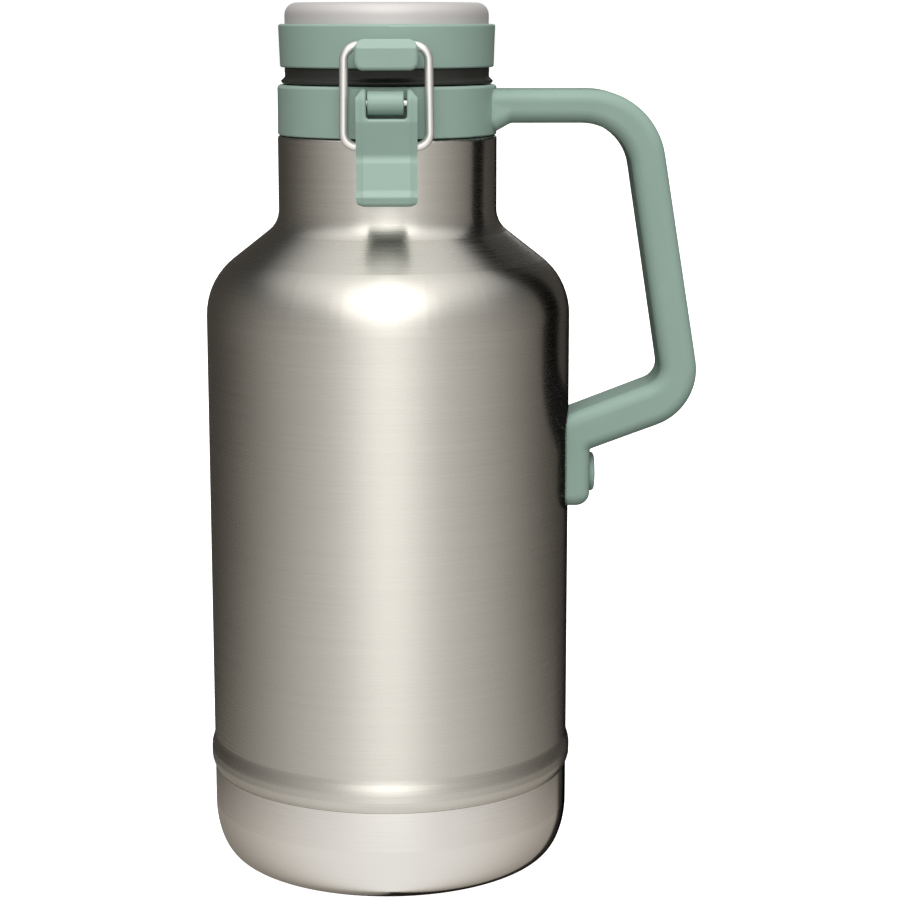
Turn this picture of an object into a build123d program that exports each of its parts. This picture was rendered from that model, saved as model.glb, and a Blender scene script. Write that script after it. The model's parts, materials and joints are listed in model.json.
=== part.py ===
from build123d import *
import math
import os

# Insulated growler with a steel double wall, a carry handle and a latched flip lid.
# Millimetres. +Z is up, the origin is the centre of the base on the table,
# the latch faces -Y, the lid hinge is at +Y and the handle reaches out to +X.

# ---- driving dimensions -------------------------------------------------------------
BODY_R = 61.0
NECK_R = 36.4
STEEL = 0.6
INNER_STEEL = 0.5
VACUUM_GAP = 5.0

BASE_R = 60.95
BASE_TOP = 31.3
BASE_CORNER_RISE = 18.0
BASE_CORNER_RUN = 8.5
CUP_WALL = 0.5

BEAD_R = 61.95
BEAD_TOP = 41.6

SHOULDER_CORNER_Z = 198.4
SHOULDER_FILLET = 23.5
NECK_CORNER_Z = 217.7
NECK_FILLET = 9.0
NECK_TOP = 246.5

SPIGOT_R = 33.2
MOUTH_R = 29.0
MOUTH_TOP = 263.2
RIM_DEPTH = 1.5
SNAP_BEAD_Z = 254.0
SNAP_BEAD_R = 0.6

INNER_FLOOR = 10.0
INNER_FLOOR_CORNER = 18.0
SKIRT_BOTTOM = 17.5
BOTTOM_PLATE_Z = 4.0
BOTTOM_PLATE_RIM = 22.5
BOTTOM_PLATE_CORNER = 12.0
DIMPLE_R = 6.0
PORT_R = 1.5
GETTER_R = 8.0
GETTER_HEIGHT = 2.4

COLLAR_R = 36.3
COLLAR_BOTTOM = 246.8
COLLAR_TOP = 263.2
SLIP = 0.05

HANDLE_HALF_WIDTH = 12.0
HANDLE_EDGE = 4.2
ARM_TOP = 261.7
ARM_BOTTOM = 250.7
FOOT_FACE = 67.9
FOOT_BOTTOM = 122.0
SCREW_Z = 132.2

PAD_HALF_WIDTH = 12.2
PAD_FACE = 36.7
LEVER_PIVOT = (41.6, 258.4)
LEVER_HALF_WIDTH = 9.7
LEVER_BEVEL = (2.3, 0.9)
LEVER_BOTTOM = 226.2
EAR_R = 4.5
SLOT_HALF_WIDTH = 6.4
SLOT_BOTTOM = 253.6
BARREL_R = 3.85
BARREL_LEFT = -6.1
BARREL_RIGHT = 5.5
LATCH_PIN_R = 1.3

BAIL_PIVOT = (39.9, 244.6)
BAIL_BAR = (39.8, 276.2)
WIRE_R = 1.42
BAIL_FOOT_HALF_WIDTH = 13.68
BAIL_HEAD_HALF_WIDTH = 13.3
BAIL_CORNER = 4.6
BAIL_END = 5.2

RING_BOTTOM = 268.85
RING_TOP = 282.8
RING_R_BOTTOM = 35.3
RING_R_TOP = 35.8
RING_HOLE_R = 28.7
FLANGE = 1.9
CATCH_HALF_WIDTH = 9.95
CATCH_TOP = 278.3
CATCH_SLOPE = 0.42
CHANNEL_SLACK = 2.1
CHANNEL_DROP = 0.75

CAP_R = 33.65
CAP_BOTTOM = 272.8
CAP_TOP = 289.7
CAP_WALL = 0.6
CAP_CORNER = 4.0

SEAL_BOTTOM = 263.55
SEAL_R = 33.8
SEAL_LIP_R = 35.15
PLUG_R = 28.5
PLUG_TIP_R = 27.2
PLUG_BOTTOM = 252.0
PLUG_WALL = 1.8
LID_SCREW_COUNT = 4
LID_SCREW_CIRCLE = 30.9
LID_SCREW_R = 1.1

HINGE = (41.0, 265.4)
HINGE_PIN_R = 1.5
KNUCKLE_R = 4.0
KNUCKLE_HALF_WIDTH = 5.9
LUG_R = 4.2
LUG_INNER = 6.2
LUG_OUTER = 10.7

# Outlines below are drawn as (u, z), where u is the distance in front of the axis.
FRONT_SIDE = Plane(origin=(0, 0, 0), x_dir=(0, -1, 0), z_dir=(-1, 0, 0))
# The hinge outlines are drawn as (v, z), where v is the distance behind the axis.
REAR_SIDE = Plane(origin=(0, 0, 0), x_dir=(0, 1, 0), z_dir=(1, 0, 0))


# ---- drawing helpers ----------------------------------------------------------------
def rounded_edges(corners, closed=True):
    """Lines and arcs through corners (x, y, radius); a radius of 0 is a sharp corner."""
    spots = [Vector(x, y) for x, y, _ in corners]
    last = len(corners) - 1
    joints = []
    arcs = []
    for i, (_, _, radius) in enumerate(corners):
        here = spots[i]
        if radius == 0 or (not closed and i in (0, last)):
            joints.append((here, here))
            continue
        back = (spots[i - 1] - here).normalized()
        ahead = (spots[(i + 1) % len(spots)] - here).normalized()
        half = math.radians(back.get_angle(ahead)) / 2
        start = here + back * (radius / math.tan(half))
        end = here + ahead * (radius / math.tan(half))
        middle = here + (back + ahead).normalized() * (radius / math.sin(half) - radius)
        arcs.append(ThreePointArc(start, middle, end))
        joints.append((start, end))
    lines = []
    for i in range(0 if closed else 1, len(joints)):
        if (joints[i][0] - joints[i - 1][1]).length > 1e-6:
            lines.append(Line(joints[i - 1][1], joints[i][0]))
    return [edge for shape in lines + arcs for edge in shape.edges()]


def outline(corners):
    return Face(Wire(rounded_edges(corners)))


def turned(corners):
    """Solid of revolution about Z from corners (r, z, radius)."""
    return revolve(Plane.XZ * outline(corners), Axis.Z)


def slab(plane, corners, half_width):
    return extrude(plane * outline(corners), amount=half_width, both=True)


def tube(radius, bottom, top):
    return Pos(0, 0, (bottom + top) / 2) * Cylinder(radius, top - bottom)


def crosswise(radius, spot, half_length, plane=FRONT_SIDE):
    """Cylinder along X through spot, given as (u, z) or (v, z)."""
    return extrude(plane * Pos(*spot) * Circle(radius), amount=half_length, both=True)


def handlewise(radius, start, end):
    """Cylinder along X at the height of the handle screw."""
    return Pos((start + end) / 2, 0, SCREW_Z) * Rot(0, 90, 0) * Cylinder(radius, end - start)


def box(x0, x1, y0, y1, z0, z1):
    centre = Pos((x0 + x1) / 2, (y0 + y1) / 2, (z0 + z1) / 2)
    return centre * Box(x1 - x0, y1 - y0, z1 - z0)


# ---- steel bottle -------------------------------------------------------------------
def shell_profile(wall):
    """Outer wall from the base cup up to the spigot; wall 0 is the outside face."""
    side = BODY_R - wall
    low = BASE_R - CUP_WALL - SLIP - wall
    neck = NECK_R - wall
    step = 0.12 * wall
    return [
        (side, BEAD_TOP, 6.0),
        (side, SHOULDER_CORNER_Z - 0.5 * wall, SHOULDER_FILLET - wall),
        (neck, NECK_CORNER_Z - 0.5 * wall, NECK_FILLET + wall),
        (neck, NECK_TOP - wall, 0.9),
        (SPIGOT_R - wall, NECK_TOP - wall + step, 0.5),
        (SPIGOT_R - wall, MOUTH_TOP - RIM_DEPTH, 0),
    ], low


def make_outer_shell():
    outside, low = shell_profile(0)
    inside, low_inside = shell_profile(STEEL)
    skirt = [(low_inside, SKIRT_BOTTOM, 0), (low, SKIRT_BOTTOM, 0), (low, BASE_TOP + 0.1, 0)]
    bead = [
        (BASE_R, BASE_TOP + 0.1, 0),
        (BEAD_R + 0.1, BASE_TOP + 2.4, 6.0),
        (BEAD_R + 0.1, BEAD_TOP - 3.4, 6.0),
    ]
    bead_inside = [(BODY_R - STEEL, BEAD_TOP - 2, 0), (low_inside, BASE_TOP, 0)]
    shell = turned(skirt + bead + outside + inside[:0:-1] + bead_inside)
    snap_bead = revolve(Plane.XZ * Pos(SPIGOT_R, SNAP_BEAD_Z) * Circle(SNAP_BEAD_R), Axis.Z)
    hollow = tube(SPIGOT_R - STEEL, NECK_TOP + STEEL, MOUTH_TOP)
    return shell + (snap_bead - hollow)


def vessel_corners(wall):
    side = BODY_R - STEEL - VACUUM_GAP - wall
    neck = MOUTH_R + INNER_STEEL - wall
    slope = (NECK_CORNER_Z - SHOULDER_CORNER_Z) / (BODY_R - NECK_R)
    drop = VACUUM_GAP + STEEL + wall
    shoulder_z = SHOULDER_CORNER_Z - 0.5 * drop
    neck_z = shoulder_z + slope * (side - neck)
    return [
        (0, INNER_FLOOR + wall, 0),
        (side, INNER_FLOOR + wall, INNER_FLOOR_CORNER - wall),
        (side, shoulder_z, SHOULDER_FILLET - wall),
        (neck, neck_z, NECK_FILLET + wall),
    ]


def make_inner_vessel():
    neck_outside = MOUTH_R + INNER_STEEL
    rim = [
        (neck_outside, MOUTH_TOP - RIM_DEPTH, 0),
        (SPIGOT_R, MOUTH_TOP - RIM_DEPTH, 0),
        (SPIGOT_R, MOUTH_TOP, 0.9),
        (MOUTH_R, MOUTH_TOP, 0.9),
    ]
    return turned(vessel_corners(0) + rim + vessel_corners(INNER_STEEL)[::-1])


def make_outer_bottom():
    """Dished plate welded into the shell, with the pumping port in a dimple."""
    edge_r = BASE_R - CUP_WALL - SLIP - STEEL
    top = BOTTOM_PLATE_Z + STEEL
    return turned([
        (PORT_R, top, 0),
        (DIMPLE_R, top, 0),
        (DIMPLE_R + STEEL, BOTTOM_PLATE_Z, 0),
        (edge_r, BOTTOM_PLATE_Z, BOTTOM_PLATE_CORNER),
        (edge_r, BOTTOM_PLATE_RIM, 0),
        (edge_r - STEEL, BOTTOM_PLATE_RIM, 0),
        (edge_r - STEEL, top, BOTTOM_PLATE_CORNER - STEEL),
        (DIMPLE_R + STEEL, top, 0),
        (DIMPLE_R, top + STEEL, 0),
        (PORT_R, top + STEEL, 0),
    ])


def make_vacuum_plug():
    """Solder bead that closes the port after the space between the walls is pumped out."""
    top = BOTTOM_PLATE_Z + STEEL
    return turned([
        (0, top - STEEL, 0),
        (DIMPLE_R - 2, top - STEEL, 0.3),
        (DIMPLE_R - 2, top, 0),
        (PORT_R, top, 0),
        (PORT_R, top + STEEL, 0),
        (0, top + STEEL, 0),
    ])


def make_vacuum_getter():
    """Small cup of gas-absorbing metal, spot-welded under the inner vessel."""
    return turned([
        (0, INNER_FLOOR - GETTER_HEIGHT, 0),
        (GETTER_R, INNER_FLOOR - GETTER_HEIGHT, 0.6),
        (GETTER_R, INNER_FLOOR, 0),
        (0, INNER_FLOOR, 0),
    ])


def make_base_cup():
    centre_r = BASE_R - BASE_CORNER_RUN
    centre = (centre_r, BASE_CORNER_RISE)
    inner_run = BASE_CORNER_RUN - CUP_WALL
    inner_rise = BASE_CORNER_RISE - CUP_WALL
    outer = EllipticalCenterArc(centre, BASE_CORNER_RUN, BASE_CORNER_RISE, 270, arc_size=90)
    inner = EllipticalCenterArc(centre, inner_run, inner_rise, 270, arc_size=90)
    section = [
        Line((0, 0), (centre_r, 0)),
        outer,
        Line((BASE_R, BASE_CORNER_RISE), (BASE_R, BASE_TOP)),
        Line((BASE_R, BASE_TOP), (BASE_R - CUP_WALL, BASE_TOP)),
        Line((BASE_R - CUP_WALL, BASE_TOP), (BASE_R - CUP_WALL, BASE_CORNER_RISE)),
        inner,
        Line((centre_r, CUP_WALL), (0, CUP_WALL)),
        Line((0, CUP_WALL), (0, 0)),
    ]
    wire = Wire([edge for line in section for edge in line.edges()])
    return revolve(Plane.XZ * Face(wire), Axis.Z)


# ---- collar and handle --------------------------------------------------------------
def handle_bar():
    grip_top_out = (88.3, ARM_TOP, 25.7)
    grip_low_out = (105.9, 155.3, 19.8)
    grip_low_in = (91.9, 165.4, 6.0)
    grip_top_in = (78.5, ARM_BOTTOM, 17.0)
    bar = slab(Plane.XZ, [
        (30.0, ARM_TOP, 0),
        grip_top_out,
        grip_low_out,
        (FOOT_FACE, 141.4, 0.8),
        (FOOT_FACE, FOOT_BOTTOM, 4.6),
        (56.0, FOOT_BOTTOM, 0),
        (56.0, 151.7, 0),
        grip_low_in,
        grip_top_in,
        (40.6, ARM_BOTTOM, 3.5),
        (36.2, 248.2, 0),
        (30.0, 248.2, 0),
    ], HANDLE_HALF_WIDTH)
    flanks = [edge for face in (bar.faces().sort_by(Axis.Y)[0], bar.faces().sort_by(Axis.Y)[-1])
              for edge in face.edges() if edge.center().X > 33 and edge.center().X != 56.0]
    return fillet(flanks, HANDLE_EDGE)


def foot_cuts():
    """Pocket for the welded boss, screw hole and counterbore for the screw head."""
    return handlewise(6.1, 50, 65.1) + handlewise(2.3, 60, 70) + handlewise(5.0, 66.3, 75)


def hinge_lug(side):
    plate = outline([
        (33.9, 248.5, 0),
        (38.0, 248.5, 1.5),
        (HINGE[0] + LUG_R, 258.0, 3.0),
        (HINGE[0] + LUG_R, HINGE[1] + LUG_R, LUG_R - 0.01),
        (HINGE[0] - LUG_R, HINGE[1] + LUG_R, LUG_R - 0.01),
        (HINGE[0] - LUG_R, 262.2, 0),
        (33.9, 262.2, 0),
    ])
    inner, outer = sorted((side * LUG_INNER, side * LUG_OUTER))
    return Pos(inner, 0, 0) * extrude(REAR_SIDE * plate, amount=outer - inner)


def make_handle_collar():
    bore = tube(SPIGOT_R + SLIP, 230, 280)
    groove = revolve(Plane.XZ * Pos(SPIGOT_R, SNAP_BEAD_Z) * Circle(SNAP_BEAD_R + 0.2), Axis.Z)
    ring = turned([
        (30.0, COLLAR_BOTTOM, 0),
        (COLLAR_R, COLLAR_BOTTOM, 0.5),
        (COLLAR_R, COLLAR_TOP, 1.1),
        (30.0, COLLAR_TOP, 0),
    ])
    pad = box(-PAD_HALF_WIDTH, PAD_HALF_WIDTH, -PAD_FACE, -30, COLLAR_BOTTOM + 0.2, COLLAR_TOP - 0.4)
    pad = fillet(pad.edges().filter_by(Axis.Z).sort_by(Axis.Y)[:2], 0.8)
    barrel = crosswise(BARREL_R, LEVER_PIVOT, (BARREL_RIGHT - BARREL_LEFT) / 2)
    barrel = Pos((BARREL_LEFT + BARREL_RIGHT) / 2, 0, 0) * fillet(barrel.edges(), 0.5)
    web = box(-5.2, 5.2, -LEVER_PIVOT[0], -35, LEVER_PIVOT[1] - 3.3, LEVER_PIVOT[1] + 3.3)
    bar = handle_bar() - tube(BODY_R + 0.02, 100, 230) - foot_cuts()
    lugs = hinge_lug(1) + hinge_lug(-1)
    collar = ring + pad + web + barrel + bar + lugs - bore - groove
    collar -= crosswise(LATCH_PIN_R, LEVER_PIVOT, 20)
    return collar - crosswise(HINGE_PIN_R, HINGE, 20, REAR_SIDE)


def make_handle_boss():
    """Blind threaded boss, welded on the outer shell, that the handle screw goes into."""
    boss = handlewise(6.0, 58, 65.0) - tube(BODY_R, 100, 160)
    return boss - handlewise(2.0, 61.8, 70)


def make_handle_screw():
    shank = handlewise(2.0, 62.2, 66.4)
    head = handlewise(4.2, 66.3, 68.2)
    socket = Pos(68.2, 0, SCREW_Z) * Rot(0, 90, 0) * extrude(RegularPolygon(1.4, 6), 0.9, both=True)
    return shank + head - socket


def make_screw_cover():
    disc = handlewise(6.65, FOOT_FACE, 69.9)
    disc = fillet(disc.edges().sort_by(Axis.X)[-1], 1.3)
    skirt = handlewise(4.95, 66.6, FOOT_FACE) - handlewise(4.35, 66, FOOT_FACE)
    return disc + skirt - handlewise(4.35, 66, 68.4)


# ---- latch --------------------------------------------------------------------------
def lever_side():
    u, z = LEVER_PIVOT
    front = u + EAR_R
    return [
        (u - EAR_R, z + EAR_R, EAR_R - 0.01),
        (front, z + EAR_R, EAR_R - 0.01),
        (front, 252.6, 3.0),
        (43.3, 241.6, 2.2),
        (44.4, 239.9, 1.1),
        (46.0, 231.4, 1.6),
        (47.3, 229.3, 1.1),
        (46.6, LEVER_BOTTOM, 1.7),
        (42.4, LEVER_BOTTOM, 1.0),
        (40.2, 233.0, 4.0),
        (37.9, 241.0, 4.0),
        (37.9, 252.0, 2.0),
        (u - EAR_R, 255.5, 1.0),
    ]


def lever_front():
    side = LEVER_HALF_WIDTH
    top = LEVER_PIVOT[1] + EAR_R + 0.5
    return [
        (-side, LEVER_BOTTOM - 0.1, 2.4),
        (side, LEVER_BOTTOM - 0.1, 2.4),
        (side, top - 3.2, 0),
        (side - 2.6, top, 0),
        (2.6 - side, top, 0),
        (-side, top - 3.2, 0),
    ]


def make_latch_lever():
    lever = slab(FRONT_SIDE, lever_side(), LEVER_HALF_WIDTH)
    for pick in (0, -1):
        side = lever.faces().sort_by(Axis.X)[pick]
        front = [edge for edge in side.edges() if edge.center().Y < -42.6]
        lever = chamfer(front, LEVER_BEVEL[1], LEVER_BEVEL[0], reference=side)
    lever = lever & (Pos(0, -42, 0) * slab(Plane.XZ, lever_front(), 12))
    slot = box(-SLOT_HALF_WIDTH, SLOT_HALF_WIDTH, -60, -30, SLOT_BOTTOM, 270)
    lever -= fillet(slot.edges().filter_by(Axis.Y).sort_by(Axis.Z)[:2], 1.0)
    ledge = [edge for edge in lever.edges().filter_by(Axis.X)
             if abs(edge.center().Z - SLOT_BOTTOM) < 0.01 and edge.center().Y < -45]
    lever = fillet(ledge, 0.8)
    lever -= box(-7.2, 7.2, -42.4, -30, 229.6, 241.4)
    lever -= crosswise(LATCH_PIN_R + SLIP, LEVER_PIVOT, 20)
    for side in (-1, 1):
        inner, outer = sorted((side * (BAIL_END - 0.3), side * 12))
        bore = Pos(inner, -BAIL_PIVOT[0], BAIL_PIVOT[1]) * Rot(0, 90, 0)
        lever -= bore * extrude(Circle(WIRE_R + SLIP), outer - inner)
        lever -= bore_mouth(side)
    return lever


def bore_mouth(side):
    """Countersink that clears the bail's bend where the wire leaves the lever's cheek."""
    depth = 1.2
    middle = side * (LEVER_HALF_WIDTH + 0.1 - depth / 2)
    place = Pos(middle, -BAIL_PIVOT[0], BAIL_PIVOT[1]) * Rot(0, side * 90, 0)
    return place * Cone(WIRE_R + SLIP, WIRE_R + 0.35, depth)


def make_latch_pin():
    return chamfer(crosswise(LATCH_PIN_R, LEVER_PIVOT, LEVER_HALF_WIDTH - 0.3).edges(), 0.2)


def make_bail():
    """Wire loop; both ends turn inwards into the lever and the top bar lies in the catch."""
    rise = BAIL_BAR[1] - BAIL_PIVOT[1]
    out = BAIL_BAR[0] - BAIL_PIVOT[0]
    reach = math.hypot(rise, out)
    foot = BAIL_FOOT_HALF_WIDTH
    head = BAIL_HEAD_HALF_WIDTH
    path = Wire(rounded_edges([
        (-BAIL_END, 0, 0),
        (-foot, 0, BAIL_CORNER),
        (-head, reach, BAIL_CORNER),
        (head, reach, BAIL_CORNER),
        (foot, 0, BAIL_CORNER),
        (BAIL_END, 0, 0),
    ], closed=False))
    section = Plane(origin=(-BAIL_END, 0, 0), x_dir=(0, 1, 0), z_dir=(-1, 0, 0)) * Circle(WIRE_R)
    loop = sweep(section, path=path)
    stand = Plane(
        origin=(0, -BAIL_PIVOT[0], BAIL_PIVOT[1]),
        x_dir=(1, 0, 0),
        z_dir=(0, -rise / reach, -out / reach),
    )
    return stand * loop


# ---- lid ----------------------------------------------------------------------------
def catch():
    """Pillow-shaped hook on the lid ring; the bail's bar lies in the channel behind its lip."""
    lip_back = BAIL_BAR[0] + WIRE_R + CHANNEL_SLACK
    floor = BAIL_BAR[1] - WIRE_R - CHANNEL_DROP
    front = lip_back + 1.75
    side = CATCH_HALF_WIDTH
    face = outline([
        (-side, RING_BOTTOM - 0.3, 2.6),
        (side, RING_BOTTOM - 0.3, 2.6),
        (side, CATCH_TOP, 3.2),
        (-side, CATCH_TOP, 3.2),
    ])
    pillow = extrude(Plane(origin=(0, -34.8, 0), x_dir=(1, 0, 0), z_dir=(0, -1, 0)) * face,
                     amount=front - 34.8)
    pillow = fillet(pillow.faces().sort_by(Axis.Y)[0].edges(), 1.2)
    pillow -= slab(FRONT_SIDE, [
        (front + 1, CATCH_TOP - 2.9 - 1 / CATCH_SLOPE, 0),
        (front + 1, CATCH_TOP + 1, 0),
        (front - CATCH_SLOPE * 3.9, CATCH_TOP + 1, 0),
    ], side + 1)
    return pillow - box(-side - 1, side + 1, -lip_back, -30, floor, CATCH_TOP + 1)


def hinge_knuckle():
    return slab(REAR_SIDE, [
        (34.7, 269.4, 0),
        (34.7, 277.4, 0),
        (38.6, 277.4, 2.5),
        (HINGE[0] + KNUCKLE_R, 269.5, 3.0),
        (HINGE[0] + KNUCKLE_R, HINGE[1] - KNUCKLE_R, KNUCKLE_R - 0.01),
        (HINGE[0] - KNUCKLE_R, HINGE[1] - KNUCKLE_R, KNUCKLE_R - 0.01),
        (HINGE[0] - KNUCKLE_R, 269.4, 0),
    ], KNUCKLE_HALF_WIDTH)


def at_lid_screws(radius, bottom, top):
    spots = PolarLocations(LID_SCREW_CIRCLE, LID_SCREW_COUNT, start_angle=45)
    return [spot * tube(radius, bottom, top) for spot in spots]


def make_lid_ring():
    ring = turned([
        (RING_HOLE_R, RING_BOTTOM, 0.4),
        (RING_R_BOTTOM, RING_BOTTOM, 0.7),
        (RING_R_TOP, RING_TOP, 0.8),
        (CAP_R + SLIP, RING_TOP, 0.2),
        (CAP_R + SLIP, RING_BOTTOM + FLANGE, 0),
        (RING_HOLE_R, RING_BOTTOM + FLANGE, 0),
    ])
    hollow = tube(CAP_R + SLIP, RING_BOTTOM + FLANGE, 300)
    ring += (catch() - hollow) + (hinge_knuckle() - hollow)
    for hole in at_lid_screws(LID_SCREW_R + 0.15, 260, 275):
        ring -= hole
    for pocket in at_lid_screws(2.05, 260, RING_BOTTOM + 1.1):
        ring -= pocket
    return ring - crosswise(HINGE_PIN_R + SLIP, HINGE, 20, REAR_SIDE)


def make_lid_cap():
    return turned([
        (CAP_R, CAP_BOTTOM, 0),
        (CAP_R, CAP_TOP, CAP_CORNER),
        (0, CAP_TOP, 0),
        (0, CAP_TOP - CAP_WALL, 0),
        (CAP_R - CAP_WALL, CAP_TOP - CAP_WALL, CAP_CORNER - CAP_WALL),
        (CAP_R - CAP_WALL, CAP_BOTTOM, 0),
    ])


def make_lid_liner():
    """Hollow tapered plug that closes the mouth; its flange is screwed to the lid ring."""
    flange_z = RING_BOTTOM + FLANGE + SLIP
    flange_top = flange_z + 1.8
    liner = turned([
        (0, PLUG_BOTTOM, 0),
        (PLUG_TIP_R, PLUG_BOTTOM, 2.0),
        (PLUG_R, SEAL_BOTTOM, 0),
        (PLUG_R, flange_z, 0),
        (33.4, flange_z, 0),
        (33.4, flange_top, 0.4),
        (PLUG_R - PLUG_WALL, flange_top, 0),
        (PLUG_R - PLUG_WALL, SEAL_BOTTOM, 0),
        (PLUG_TIP_R - PLUG_WALL, PLUG_BOTTOM + PLUG_WALL, 0.8),
        (0, PLUG_BOTTOM + PLUG_WALL, 0),
    ])
    for post in at_lid_screws(2.0, flange_top - 0.5, 277.5):
        liner += post
    for pilot in at_lid_screws(LID_SCREW_R, 260, 276.8):
        liner -= pilot
    return liner


def make_lid_insulation():
    """Foam puck that fills the plug and the space under the steel cap."""
    foot_r = PLUG_TIP_R - PLUG_WALL - 0.4
    return turned([
        (0, PLUG_BOTTOM + PLUG_WALL, 0),
        (foot_r, PLUG_BOTTOM + PLUG_WALL, 1.0),
        (foot_r, 273.0, 0),
        (28.4, 273.0, 0),
        (28.4, 288.0, 3.0),
        (0, 288.0, 0),
    ])


def make_lid_seal():
    """Thick silicone ring between the lid and the mouth, with a flared lip at its foot."""
    return turned([
        (PLUG_R + SLIP, SEAL_BOTTOM, 0.3),
        (SEAL_LIP_R - 0.4, SEAL_BOTTOM, 0.5),
        (SEAL_LIP_R, SEAL_BOTTOM + 0.9, 0.45),
        (SEAL_R, SEAL_BOTTOM + 2.1, 0.8),
        (SEAL_R, RING_BOTTOM - 0.02, 0.3),
        (PLUG_R + SLIP, RING_BOTTOM - 0.02, 0),
    ])


def make_lid_screws():
    screws = []
    heads = at_lid_screws(1.9, RING_BOTTOM + 0.05, RING_BOTTOM + 1.1)
    shanks = at_lid_screws(LID_SCREW_R, RING_BOTTOM + 1.0, 276.4)
    drives = at_lid_screws(0.7, RING_BOTTOM, RING_BOTTOM + 0.6)
    for head, shank, drive in zip(heads, shanks, drives):
        screws.append(head + shank - drive)
    return Compound(children=screws)


def make_hinge_pin():
    return chamfer(crosswise(HINGE_PIN_R, HINGE, LUG_OUTER, REAR_SIDE).edges(), 0.3)


# ---- write every piece --------------------------------------------------------------
PARTS = {
    "outer_shell": make_outer_shell,
    "inner_vessel": make_inner_vessel,
    "outer_bottom": make_outer_bottom,
    "vacuum_plug": make_vacuum_plug,
    "vacuum_getter": make_vacuum_getter,
    "base_cup": make_base_cup,
    "handle_collar": make_handle_collar,
    "handle_boss": make_handle_boss,
    "handle_screw": make_handle_screw,
    "screw_cover": make_screw_cover,
    "latch_lever": make_latch_lever,
    "latch_pin": make_latch_pin,
    "bail": make_bail,
    "lid_ring": make_lid_ring,
    "lid_cap": make_lid_cap,
    "lid_liner": make_lid_liner,
    "lid_insulation": make_lid_insulation,
    "lid_seal": make_lid_seal,
    "lid_screws": make_lid_screws,
    "hinge_pin": make_hinge_pin,
}

os.makedirs("parts", exist_ok=True)
for name, make in PARTS.items():
    export_step(make(), f"parts/{name}.step")
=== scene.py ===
import json
import math

import bmesh
import bpy
from mathutils import Matrix, Vector

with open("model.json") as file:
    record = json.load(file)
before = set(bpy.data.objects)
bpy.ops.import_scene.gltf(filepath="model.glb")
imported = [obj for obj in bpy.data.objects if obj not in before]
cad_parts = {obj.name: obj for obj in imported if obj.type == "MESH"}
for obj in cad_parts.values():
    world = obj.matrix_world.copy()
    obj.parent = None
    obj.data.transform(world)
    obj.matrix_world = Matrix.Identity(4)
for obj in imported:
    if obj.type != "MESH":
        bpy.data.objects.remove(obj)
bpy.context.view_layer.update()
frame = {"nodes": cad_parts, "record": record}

# ---- the view: a camera a little above mid height, looking slightly down ---------------
CAMERA_DISTANCE = 0.7674
CAMERA_HEIGHT = 0.2842
CAMERA_SIDE = 0.0045
CAMERA_YAW = 1.214
CAMERA_PITCH = 10.66
CAMERA_ROLL = -0.04
LENS_MM = 91.48
SENSOR_MM = 36.0

# ---- colours ----------------------------------------------------------------------------
STEEL_TINT = (0.60, 0.585, 0.545)
POLISHED_TINT = (0.74, 0.72, 0.695)
CAP_TINT = (0.56, 0.545, 0.54)
SAGE = (0.262, 0.372, 0.324)
BLACK_RUBBER = (0.017, 0.019, 0.016)
WHITE = (1, 1, 1, 1)
REAR_LIGHT = (1.0, 0.90, 0.78, 1)
FRONT_LIGHT = (1.0, 0.985, 0.96, 1)

# ---- studio -----------------------------------------------------------------------------
# Directions point from the object; -Y is the front and +Y the back.
FLAG_SIDE = (0.203, 0.958, -0.203)
CARD_SIDE = (0.259, 0.966, 0.0)
# Each soft glow: its direction, the cosine where it fades out, and its strength.
SOFT_GLOWS = (
    ((-0.03, -0.743, 0.669), 0.80, 0.9),
    ((0.0, -0.17, 0.985), 0.42, 1.05),
)
LIGHT_AIM = (0.0, 0.0, 0.16)
FILL_SIZE = 1.3
# Each fill: its place and its radiance.
FILLS = {
    "fill_left": ((-2.2, -0.6, 1.2), 1.0),
    "fill_right": ((2.2, -0.6, 1.2), 0.9),
    "fill_front": ((0.0, -1.45, 2.35), 3.6),
}
FLOOR_HALF_SIZE = 12.0
FLOOR_GLOW = 0.80
# Sheet round the handle's inner side, seen only in reflections: painted shade.
SHADE_SHEET_INNER_X = 0.040
SHADE_SHEET_MARGIN = 0.0012


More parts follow.
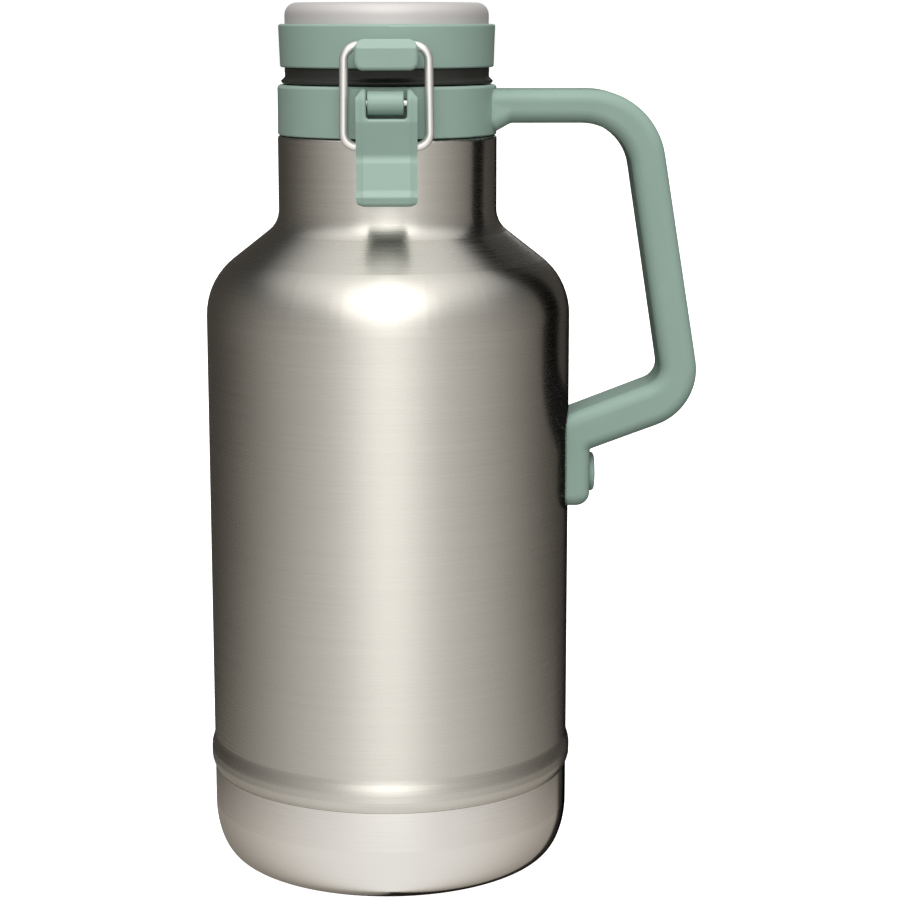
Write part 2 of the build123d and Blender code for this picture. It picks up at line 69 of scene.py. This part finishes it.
# ---- node helpers -----------------------------------------------------------------------
class Shader:
    """A material's node tree, with short calls for the nodes used here."""

    def __init__(self, name, **settings):
        self.material = bpy.data.materials.new(name)
        self.material.use_nodes = True
        self.tree = self.material.node_tree
        self.principled = self.tree.nodes["Principled BSDF"]
        for socket, value in settings.items():
            self.principled.inputs[socket.replace("_", " ")].default_value = value

    def add(self, kind, **settings):
        node = self.tree.nodes.new("ShaderNode" + kind)
        for name, value in settings.items():
            setattr(node, name, value)
        return node

    def link(self, source, target):
        self.tree.links.new(source, target)

    def drive(self, socket, source):
        self.link(source, self.principled.inputs[socket])

    def place(self, scale):
        """Object coordinates multiplied by scale, one value for each axis."""
        coords = self.add("TexCoord")
        mapping = self.add("Mapping")
        mapping.inputs["Scale"].default_value = scale
        self.link(coords.outputs["Object"], mapping.inputs["Vector"])
        return mapping.outputs["Vector"]

    def noise(self, scale, detail=4.0, roughness=0.55, place=(1, 1, 1)):
        noise = self.add("TexNoise")
        noise.inputs["Scale"].default_value = scale
        noise.inputs["Detail"].default_value = detail
        noise.inputs["Roughness"].default_value = roughness
        self.link(self.place(place), noise.inputs["Vector"])
        return noise.outputs["Fac"]

    def span(self, source, low, high, from_low=0.3, from_high=0.7):
        """Source rescaled so that from_low..from_high becomes low..high."""
        remap = self.add("MapRange")
        for socket, value in zip(
            ("From Min", "From Max", "To Min", "To Max"), (from_low, from_high, low, high)
        ):
            remap.inputs[socket].default_value = value
        self.link(source, remap.inputs["Value"])
        return remap.outputs["Result"]

    def sum(self, first, second):
        total = self.add("Math", operation="ADD")
        self.link(first, total.inputs[0])
        self.link(second, total.inputs[1])
        return total.outputs[0]

    def tint(self, factor, dark, light):
        mix = self.add("Mix", data_type="RGBA")
        self.link(factor, mix.inputs["Factor"])
        mix.inputs[6].default_value = (*dark, 1)
        mix.inputs[7].default_value = (*light, 1)
        return mix.outputs[2]

    def worn_edges(self, colour, lighter, amount):
        """Colour that turns lighter along sharp convex edges."""
        geometry = self.add("NewGeometry")
        edge = self.span(geometry.outputs["Pointiness"], 0.0, amount, 0.52, 0.60)
        mix = self.add("Mix", data_type="RGBA")
        self.link(edge, mix.inputs["Factor"])
        self.link(colour, mix.inputs[6])
        mix.inputs[7].default_value = (*lighter, 1)
        return mix.outputs[2]

    def bump(self, height, distance, strength=1.0):
        bump = self.add("Bump")
        bump.inputs["Strength"].default_value = strength
        bump.inputs["Distance"].default_value = distance
        self.link(height, bump.inputs["Height"])
        self.drive("Normal", bump.outputs["Normal"])


def shade(colour, factor):
    return tuple(channel * factor for channel in colour)


# ---- materials --------------------------------------------------------------------------
def turned_steel(
    name, colour, roughness, anisotropy, line_scale, grain, streaks=0.05, metallic=1.0
):
    """Steel with fine lines running round the Z axis, as left by a rotating brush."""
    steel = Shader(name, Metallic=metallic, Anisotropic=anisotropy, Anisotropic_Rotation=0.25)
    tangent = steel.add("Tangent", direction_type="RADIAL", axis="Z")
    steel.drive("Tangent", tangent.outputs["Tangent"])
    lines = steel.noise(1.0, 3.0, 0.6, place=(22, 22, line_scale))
    broad = steel.noise(1.0, 2.0, 0.5, place=(9, 9, line_scale / 9))
    smudge = steel.noise(28.0, 3.0, 0.5)
    mixed = steel.sum(steel.span(lines, -0.5, 0.5), steel.span(broad, -0.2, 0.2))
    tone = steel.span(mixed, 0.0, 1.0, -0.6, 0.6)
    dark, light = shade(colour, 1 - streaks), shade(colour, 1 + streaks)
    steel.drive("Base Color", steel.tint(tone, dark, light))
    rough = steel.sum(
        steel.span(lines, roughness - 0.03, roughness + 0.03), steel.span(smudge, -0.02, 0.02)
    )
    steel.drive("Roughness", rough)
    steel.bump(lines, grain)
    return steel.material


def polished_steel():
    """Mirror steel with faint circular polishing marks and soft smudges."""
    steel = Shader("polished_steel", Metallic=1.0, Anisotropic=0.35, Anisotropic_Rotation=0.25)
    tangent = steel.add("Tangent", direction_type="RADIAL", axis="Z")
    steel.drive("Tangent", tangent.outputs["Tangent"])
    marks = steel.noise(1.0, 2.0, 0.5, place=(30, 30, 2600))
    smudge = steel.noise(45.0, 4.0, 0.6)
    dark, light = shade(POLISHED_TINT, 0.97), shade(POLISHED_TINT, 1.03)
    steel.drive("Base Color", steel.tint(marks, dark, light))
    rough = steel.sum(steel.span(marks, 0.05, 0.09), steel.span(smudge, 0.0, 0.05))
    steel.drive("Roughness", rough)
    steel.bump(marks, 0.000004)
    return steel.material


def sage_plastic():
    """Satin moulded plastic: very fine spark texture and slightly paler edges."""
    plastic = Shader("sage_plastic", Specular_IOR_Level=0.45)
    tone = plastic.noise(70.0, 3.0, 0.5)
    spark = plastic.noise(2600.0, 2.0, 0.6)
    colour = plastic.tint(tone, shade(SAGE, 0.96), shade(SAGE, 1.04))
    plastic.drive("Base Color", plastic.worn_edges(colour, shade(SAGE, 1.22), 0.5))
    rough = plastic.sum(plastic.span(tone, 0.34, 0.40), plastic.span(spark, -0.03, 0.03))
    plastic.drive("Roughness", rough)
    plastic.bump(spark, 0.00002, 0.5)
    return plastic.material


def silicone():
    rubber = Shader("silicone", Specular_IOR_Level=0.4)
    bloom = rubber.noise(160.0, 4.0, 0.6)
    grain = rubber.noise(1800.0, 2.0, 0.6)
    dark, light = shade(BLACK_RUBBER, 0.8), shade(BLACK_RUBBER, 1.5)
    rubber.drive("Base Color", rubber.tint(bloom, dark, light))
    rubber.drive("Roughness", rubber.span(bloom, 0.42, 0.55))
    rubber.bump(grain, 0.00002, 0.4)
    return rubber.material


def moulded(name, colour, roughness):
    plastic = Shader(name)
    tone = plastic.noise(120.0, 3.0, 0.5)
    spark = plastic.noise(2200.0, 2.0, 0.6)
    plastic.drive("Base Color", plastic.tint(tone, shade(colour, 0.85), shade(colour, 1.15)))
    plastic.drive("Roughness", plastic.span(tone, roughness - 0.05, roughness + 0.05))
    plastic.bump(spark, 0.00003, 0.5)
    return plastic.material


def drawn_wire():
    """Bright drawn stainless wire with faint die lines."""
    wire = Shader("bright_wire", Metallic=0.8)
    lines = wire.noise(1.0, 3.0, 0.6, place=(2500, 2500, 60))
    wire.drive("Base Color", wire.tint(lines, (0.72, 0.71, 0.69), (0.84, 0.83, 0.81)))
    wire.drive("Roughness", wire.span(lines, 0.28, 0.38))
    wire.bump(lines, 0.00001)
    return wire.material


def plain_metal(name, colour, roughness):
    metal = Shader(name, Metallic=1.0)
    grain = metal.noise(900.0, 4.0, 0.6)
    colour_mix = metal.tint(grain, shade(colour, 0.88), shade(colour, 1.1))
    metal.drive("Base Color", metal.worn_edges(colour_mix, shade(colour, 1.2), 0.5))
    metal.drive("Roughness", metal.span(grain, roughness - 0.06, roughness + 0.08))
    metal.bump(grain, 0.00002, 0.5)
    return metal.material


def make_materials():
    return {
        "brushed_steel": turned_steel(
            "brushed_steel", STEEL_TINT, 0.27, 0.75, 4200, 0.000006, 0.03
        ),
        "inner_steel": turned_steel(
            "inner_steel", (0.62, 0.62, 0.61), 0.26, 0.5, 2200, 0.00001
        ),
        "satin_steel": turned_steel(
            "satin_steel", CAP_TINT, 0.56, 0.3, 3000, 0.000008, 0.02, 0.35
        ),
        "polished_steel": polished_steel(),
        "sage_plastic": sage_plastic(),
        "silicone": silicone(),
        "liner_plastic": moulded("liner_plastic", (0.03, 0.032, 0.03), 0.4),
        "foam": moulded("foam", (0.72, 0.68, 0.55), 0.8),
        "bright_wire": drawn_wire(),
        "plated_steel": plain_metal("plated_steel", (0.68, 0.68, 0.67), 0.25),
        "getter_metal": plain_metal("getter_metal", (0.2, 0.2, 0.21), 0.5),
        "solder": plain_metal("solder", (0.6, 0.6, 0.62), 0.4),
    }


def dress_nodes(materials):
    slots = {part["node"]: part["material_slot"] for part in frame["record"]["subparts"]}
    for name, node in frame["nodes"].items():
        node.data.materials.clear()
        node.data.materials.append(materials[slots[name]])


# ---- stage ------------------------------------------------------------------------------
def make_floor():
    floor_mesh = bpy.data.meshes.new("floor")
    sheet = bmesh.new()
    bmesh.ops.create_grid(sheet, x_segments=8, y_segments=8, size=FLOOR_HALF_SIZE)
    sheet.to_mesh(floor_mesh)
    sheet.free()
    floor = bpy.data.objects.new("floor", floor_mesh)
    bpy.context.scene.collection.objects.link(floor)
    paper = Shader("pale_floor", Roughness=0.9, Specular_IOR_Level=0.1)
    grain = paper.noise(3.0, 3.0, 0.5)
    paper.drive("Base Color", paper.tint(grain, (0.86, 0.86, 0.86), (0.90, 0.90, 0.90)))
    paper.principled.inputs["Emission Color"].default_value = WHITE
    paper.principled.inputs["Emission Strength"].default_value = FLOOR_GLOW
    floor_mesh.materials.append(paper.material)
    floor.visible_glossy = False
    floor.visible_diffuse = False


def make_handle_painted_shade(handle):
    """Black sheet close round the handle's inner side that only reflections see: painted shade,
    so the steel mirrors the handle's shaded inner face dark.
    """
    shade_sheet_mesh = handle.data.copy()
    dark_patch = bpy.data.objects.new("handle_painted_shade", shade_sheet_mesh)
    dark_patch.matrix_world = handle.matrix_world.copy()
    bpy.context.scene.collection.objects.link(dark_patch)
    skin = bmesh.new()
    skin.from_mesh(shade_sheet_mesh)
    outside = [
        face for face in skin.faces
        if (dark_patch.matrix_world @ face.calc_center_median()).x < SHADE_SHEET_INNER_X
    ]
    bmesh.ops.delete(skin, geom=outside, context="FACES")
    for vertex in skin.verts:
        vertex.co += vertex.normal * SHADE_SHEET_MARGIN
    skin.to_mesh(shade_sheet_mesh)
    skin.free()
    # Near-black colour of the sheet: painted shade for the handle's shaded inner face.
    shade_paint = Shader("painted_shade_black", Roughness=0.95, Specular_IOR_Level=0.0)
    shade_noise = shade_paint.noise(900.0, 3.0, 0.5)
    shade_paint.drive("Base Color", shade_paint.tint(shade_noise, (0.004, 0.004, 0.004), (0.012, 0.012, 0.012)))
    shade_sheet_mesh.materials.clear()
    shade_sheet_mesh.materials.append(shade_paint.material)
    dark_patch.visible_camera = False
    dark_patch.visible_diffuse = False
    dark_patch.visible_shadow = False


class World:
    """The world's node tree, with short calls for the nodes used here."""

    def __init__(self, name):
        world = bpy.data.worlds.new(name)
        bpy.context.scene.world = world
        world.use_nodes = True
        self.tree = world.node_tree

    def add(self, kind, **settings):
        node = self.tree.nodes.new("ShaderNode" + kind)
        for name, value in settings.items():
            setattr(node, name, value)
        return node

    def feed(self, socket, value):
        if isinstance(value, (int, float)):
            socket.default_value = value
        else:
            self.tree.links.new(value, socket)

    def math(self, operation, *values):
        node = self.add("Math", operation=operation)
        for socket, value in zip(node.inputs, values):
            self.feed(socket, value)
        return node.outputs[0]

    def ramp(self, value, low, high):
        """Smooth step from 0 at low to 1 at high."""
        node = self.add("MapRange", interpolation_type="SMOOTHSTEP")
        node.inputs["From Min"].default_value = low
        node.inputs["From Max"].default_value = high
        self.feed(node.inputs["Value"], value)
        return node.outputs["Result"]

    def facing(self, direction, side):
        """Cosine of the angle between a direction and a fixed side."""
        node = self.add("VectorMath", operation="DOT_PRODUCT")
        self.feed(node.inputs[0], direction)
        node.inputs[1].default_value = side
        return node.outputs["Value"]

    def blend(self, factor, first, second):
        node = self.add("Mix")
        sockets = node.inputs[:1] + node.inputs[2:4]
        for socket, value in zip(sockets, (factor, first, second)):
            self.feed(socket, value)
        return node.outputs[0]

    def split(self, vector):
        node = self.add("SeparateXYZ")
        self.feed(node.inputs[0], vector)
        return node.outputs

    def bearing(self, axes):
        """Horizontal part of a direction, at unit length."""
        flat = self.add("CombineXYZ")
        self.feed(flat.inputs["X"], axes["X"])
        self.feed(flat.inputs["Y"], axes["Y"])
        unit = self.add("VectorMath", operation="NORMALIZE")
        self.feed(unit.inputs[0], flat.outputs[0])
        return unit.outputs[0]


def wall_light(world, direction, height, frontal):
    """Walls that are bright in front and dim behind, with soft glows above and in front."""
    broad = world.math("MULTIPLY_ADD", world.math("POWER", frontal, 1.9), 0.74, 0.06)
    strip = world.math("MULTIPLY", world.math("POWER", frontal, 24.0), 0.68)
    fade = world.math("MULTIPLY_ADD", world.ramp(height, 0.2, 0.8), -0.25, 1.0)
    walls = world.math("MULTIPLY", world.math("ADD", broad, strip), fade)
    for side, edge, strength in SOFT_GLOWS:
        glow = world.ramp(world.facing(direction, side), edge, 1.0)
        walls = world.math("MULTIPLY_ADD", glow, strength, walls)
    return walls


def table_light(world, bearing, frontal):
    """Pale table as the polished steel mirrors it, with a dark card behind on the right."""
    card = world.ramp(world.facing(bearing, CARD_SIDE), 0.90, 0.96)
    beside_card = world.math("MULTIPLY_ADD", card, -0.93, 1.0)
    bright_table = world.math("MULTIPLY_ADD", frontal, 0.80, 0.23)
    return world.math("MULTIPLY", bright_table, beside_card)


def make_world():
    """Soft studio surroundings: bright in front, dim to the sides, dark behind."""
    world = World("studio")
    direction = world.add("TexCoord").outputs["Generated"]
    path = world.add("LightPath").outputs
    axes = world.split(direction)
    height = axes["Z"]
    bearing = world.bearing(axes)
    frontal = world.math("MULTIPLY_ADD", world.split(bearing)["Y"], -0.5, 0.5)
    walls = wall_light(world, direction, height, frontal)
    table = table_light(world, bearing, frontal)
    mirrored = world.blend(world.ramp(height, -0.345, -0.30), table, walls)
    shade_below = world.math("MULTIPLY", walls, 0.35)
    lighting = world.blend(world.ramp(height, -0.35, 0.05), shade_below, walls)
    level = world.blend(path["Is Glossy Ray"], lighting, mirrored)
    dark_patch = world.ramp(world.facing(direction, FLAG_SIDE), 0.955, 0.975)
    beside_flag = world.math("MULTIPLY_ADD", dark_patch, -0.95, 1.0)
    tone = world.add("Mix", data_type="RGBA")
    world.feed(tone.inputs[0], world.math("ADD", frontal, world.ramp(height, 0.2, 0.7)))
    tone.inputs[6].default_value = REAR_LIGHT
    tone.inputs[7].default_value = FRONT_LIGHT
    studio = world.add("Background")
    world.feed(studio.inputs["Color"], tone.outputs[2])
    world.feed(studio.inputs["Strength"], world.math("MULTIPLY", level, beside_flag))
    backdrop = world.add("Background")
    backdrop.inputs["Color"].default_value = WHITE
    seen = world.add("MixShader")
    world.feed(seen.inputs[0], path["Is Camera Ray"])
    world.feed(seen.inputs[1], studio.outputs[0])
    world.feed(seen.inputs[2], backdrop.outputs[0])
    world.feed(world.tree.nodes["World Output"].inputs["Surface"], seen.outputs[0])


def softbox(name, place, width, height, radiance):
    """Area light aimed at the middle of the object."""
    light = bpy.data.lights.new(name, "AREA")
    light.shape = "RECTANGLE"
    light.size = width
    light.size_y = height
    light.energy = radiance * math.pi * width * height
    box = bpy.data.objects.new(name, light)
    bpy.context.scene.collection.objects.link(box)
    direction = Vector(LIGHT_AIM) - Vector(place)
    box.rotation_euler = direction.to_track_quat("-Z", "Y").to_euler()
    box.location = place
    box.visible_camera = False
    return box


def make_lights():
    softbox("rear", (0.25, 2.6, 1.15), 0.9, 1.2, 1.0)
    for name, (place, radiance) in FILLS.items():
        softbox(name, place, FILL_SIZE, FILL_SIZE, radiance).visible_glossy = False


def make_camera():
    camera = bpy.data.cameras.new("camera")
    camera.sensor_width = SENSOR_MM
    camera.lens = LENS_MM
    camera.clip_end = 50.0
    eye = bpy.data.objects.new("camera", camera)
    bpy.context.scene.collection.objects.link(eye)
    turn = (
        Matrix.Rotation(math.radians(-CAMERA_YAW), 4, "Z")
        @ Matrix.Rotation(math.radians(90 - CAMERA_PITCH), 4, "X")
        @ Matrix.Rotation(math.radians(CAMERA_ROLL), 4, "Z")
    )
    place = (CAMERA_SIDE, -CAMERA_DISTANCE, CAMERA_HEIGHT)
    eye.matrix_world = Matrix.Translation(place) @ turn
    bpy.context.scene.camera = eye
    bpy.context.scene.view_settings.view_transform = "Standard"


make_camera()
make_world()
make_lights()
make_floor()
dress_nodes(make_materials())
# Painted shade: a black sheet on the handle's inner side that only reflections see.
make_handle_painted_shade(frame["nodes"]["handle_collar"])
